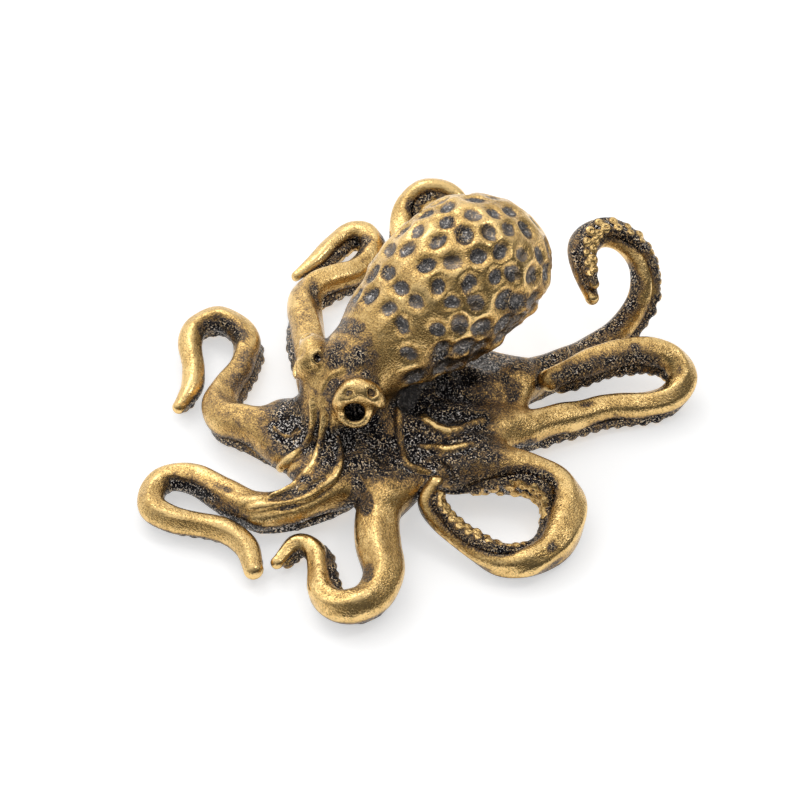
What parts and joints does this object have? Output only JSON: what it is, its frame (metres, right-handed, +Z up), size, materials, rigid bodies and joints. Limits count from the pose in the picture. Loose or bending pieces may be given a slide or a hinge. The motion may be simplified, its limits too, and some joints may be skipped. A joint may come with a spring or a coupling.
{
  "type": "octopus figurine",
  "caption": "Small cast-brass octopus ornament with a dimpled egg-shaped mantle, domed eyes, a webbed skirt and curling arms lined with suckers; stands on its arms.",
  "frame": {"origin": "on the ground, under the middle of the figure's footprint", "axes": "+Z up; the animal looks along -Y and its mantle lies back along +Y; its left side is +X"},
  "size_m": [0.0505, 0.0588, 0.0221],
  "materials": {
    "polished_brass": "hand-rubbed high spots over an antique patina",
    "darkened_brass": "dark antique patina left in the recesses"
  },
  "bodies": {
    "root": {"mantle": "polished_brass", "head": "polished_brass", "web": "darkened_brass", "eye_left": "polished_brass", "eye_right": "polished_brass", "arm_left_1": "polished_brass", "arm_left_2": "polished_brass", "arm_left_3": "polished_brass", "arm_left_4": "polished_brass", "arm_right_1": "polished_brass", "arm_right_2": "polished_brass", "arm_right_3": "polished_brass", "arm_right_4": "polished_brass", "suckers_left_1": "darkened_brass", "suckers_left_2": "darkened_brass", "suckers_left_3": "darkened_brass", "suckers_left_4": "darkened_brass", "suckers_right_1": "darkened_brass", "suckers_right_2": "darkened_brass", "suckers_right_3": "darkened_brass", "suckers_right_4": "darkened_brass"}
  },
  "joints": []
}
